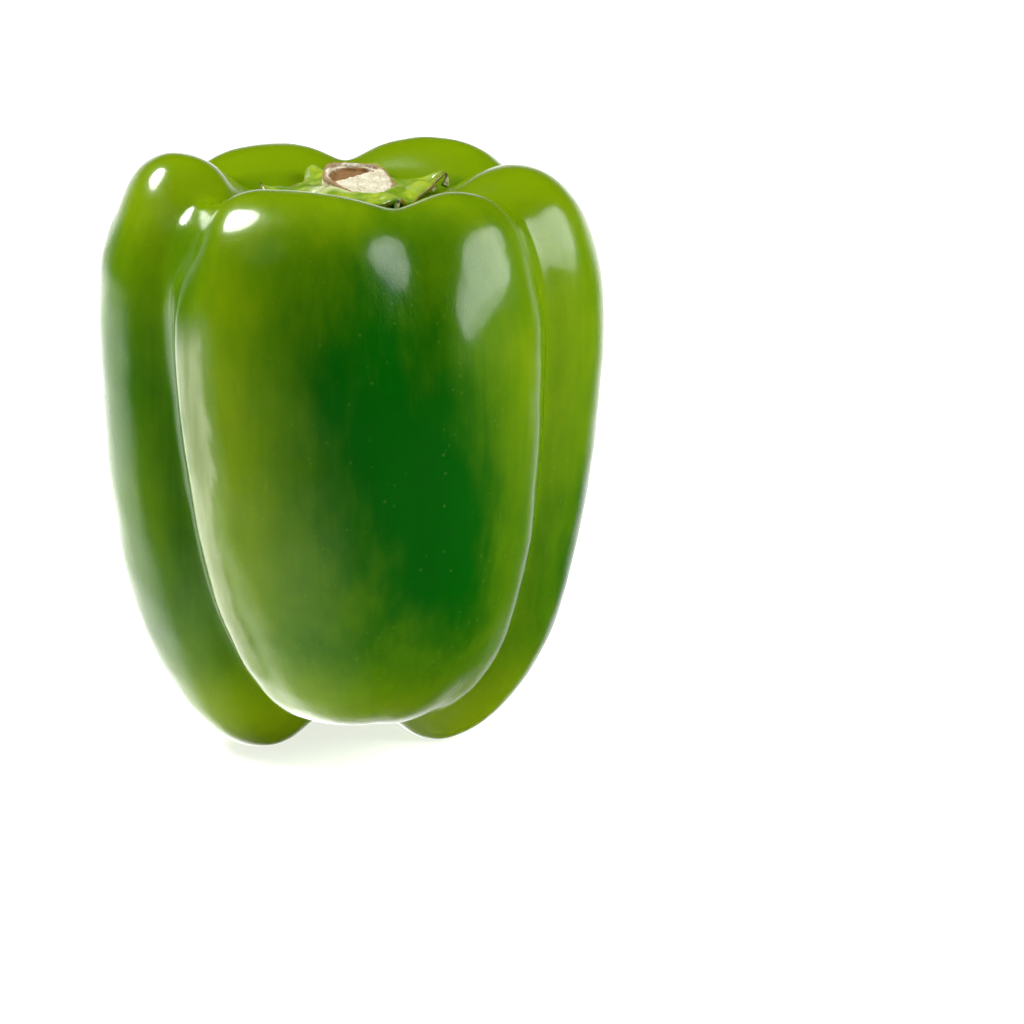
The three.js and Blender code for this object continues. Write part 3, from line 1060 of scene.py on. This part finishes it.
# %% Tip material
def tip_material():
    """Green at the root, straw in the middle, nearly black at the end."""
    shader = Shader(bpy.data.materials.new("dried_tip"))
    place = shader.place()
    fine = shader.noise(place, scale=1.8, detail=4, rough=0.65)
    dried = shader.painted("dried") + (fine - 0.5) * 0.3
    root, straw, black = ink(150, 176, 60), ink(206, 204, 156), ink(60, 48, 24)
    brown = shader.mix(shader.step(dried, 0.05, 0.3), root, straw)
    brown = shader.mix(shader.step(dried, 0.6, 0.95), brown, black)
    return shader.surface(Base_Color=brown, Roughness=0.6, Normal=shader.bump(fine, deep=0.3))


calyx.data.materials.append(calyx_material())
tips.data.materials.append(tip_material())

# %% [markdown]
# ## The stem's finish
# The cut is cork: cream, pitted, with a brown line round it and brown pith in the middle. The outside of
# the stub goes from pale bark to green further down. So two distances are painted: how far a vertex lies
# below the nearer cut, and how far from the stem's axis, as a share of its radius.

# %% Stem: paint the two distances
where = places(stem.data)
from_middle = where - np.array(middle)
below = -np.maximum(from_middle @ np.array(long_cut), from_middle @ np.array(short_cut))
paint(stem.data, "below_cut", below)
paint(stem.data, "from_axis", np.hypot(where[:, 0] - STEM.x, where[:, 1] - STEM.y) / STEM_RADIUS)
print("stem: up to", round(below.max(), 1), "mm below the cuts")


# %% Stem material
def stem_material():
    """Cork, pith, bark and the brown line round the cut."""
    shader = Shader(bpy.data.materials.new("dry_stem"))
    place = shader.place()
    below_cut, from_axis = shader.painted("below_cut"), shader.painted("from_axis")
    blotch = shader.noise(place, scale=0.5, detail=4, rough=0.6)
    fine = shader.noise(place, scale=2.4, detail=4, rough=0.7)
    cream, buff, pit = ink(236, 231, 208), ink(208, 200, 168), ink(150, 122, 78)
    cork = shader.mix(shader.step(blotch, 0.3, 0.7), cream, buff)
    cork = shader.mix(shader.step(fine, 0.5, 0.66) * 0.6, cork, pit)

    pith = shader.mix(fine, ink(92, 58, 22), ink(158, 118, 66))
    inner = shader.step(below_cut, 0.15, 0.4) * shader.step(from_axis, 0.86, 0.76)
    cork = shader.mix(inner, cork, pith)

    pale_bark, green_bark, brown_line = ink(222, 214, 180), ink(170, 186, 92), ink(138, 102, 48)
    bark = shader.mix(shader.step(below_cut + (blotch - 0.5) * 2, 0.6, 3.2), pale_bark, green_bark)
    outside = shader.step(from_axis, 0.84, 0.94) * shader.step(below_cut, 0.25, 0.9)
    cork = shader.mix(outside, cork, bark)
    edge = shader.step(from_axis + (blotch - 0.5) * 0.16, 0.84, 0.91) * shader.step(below_cut, 0.75, 0.15)
    cork = shader.mix(edge * 0.85, cork, brown_line)
    relief = shader.bump(fine * 0.7 + blotch * 0.3, deep=0.3)
    return shader.surface(Base_Color=cork, Roughness=0.8, Specular_IOR_Level=0.3, Normal=relief)


stem.data.materials.append(stem_material())
print("materials:", ", ".join(p.data.materials[0].name for p in (skin, calyx, tips, stem)))

# %% [markdown]
# ## Handing the pieces over
# Every piece rides on the pepper's one body and stands for a CAD node, which is then hidden.

# %% Ride and replace
for piece, node, finish in ((calyx, "calyx", "calyx"), (tips, "calyx", "calyx"), (stem, "stem", "stem")):
    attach(piece, "root")
    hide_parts(node)
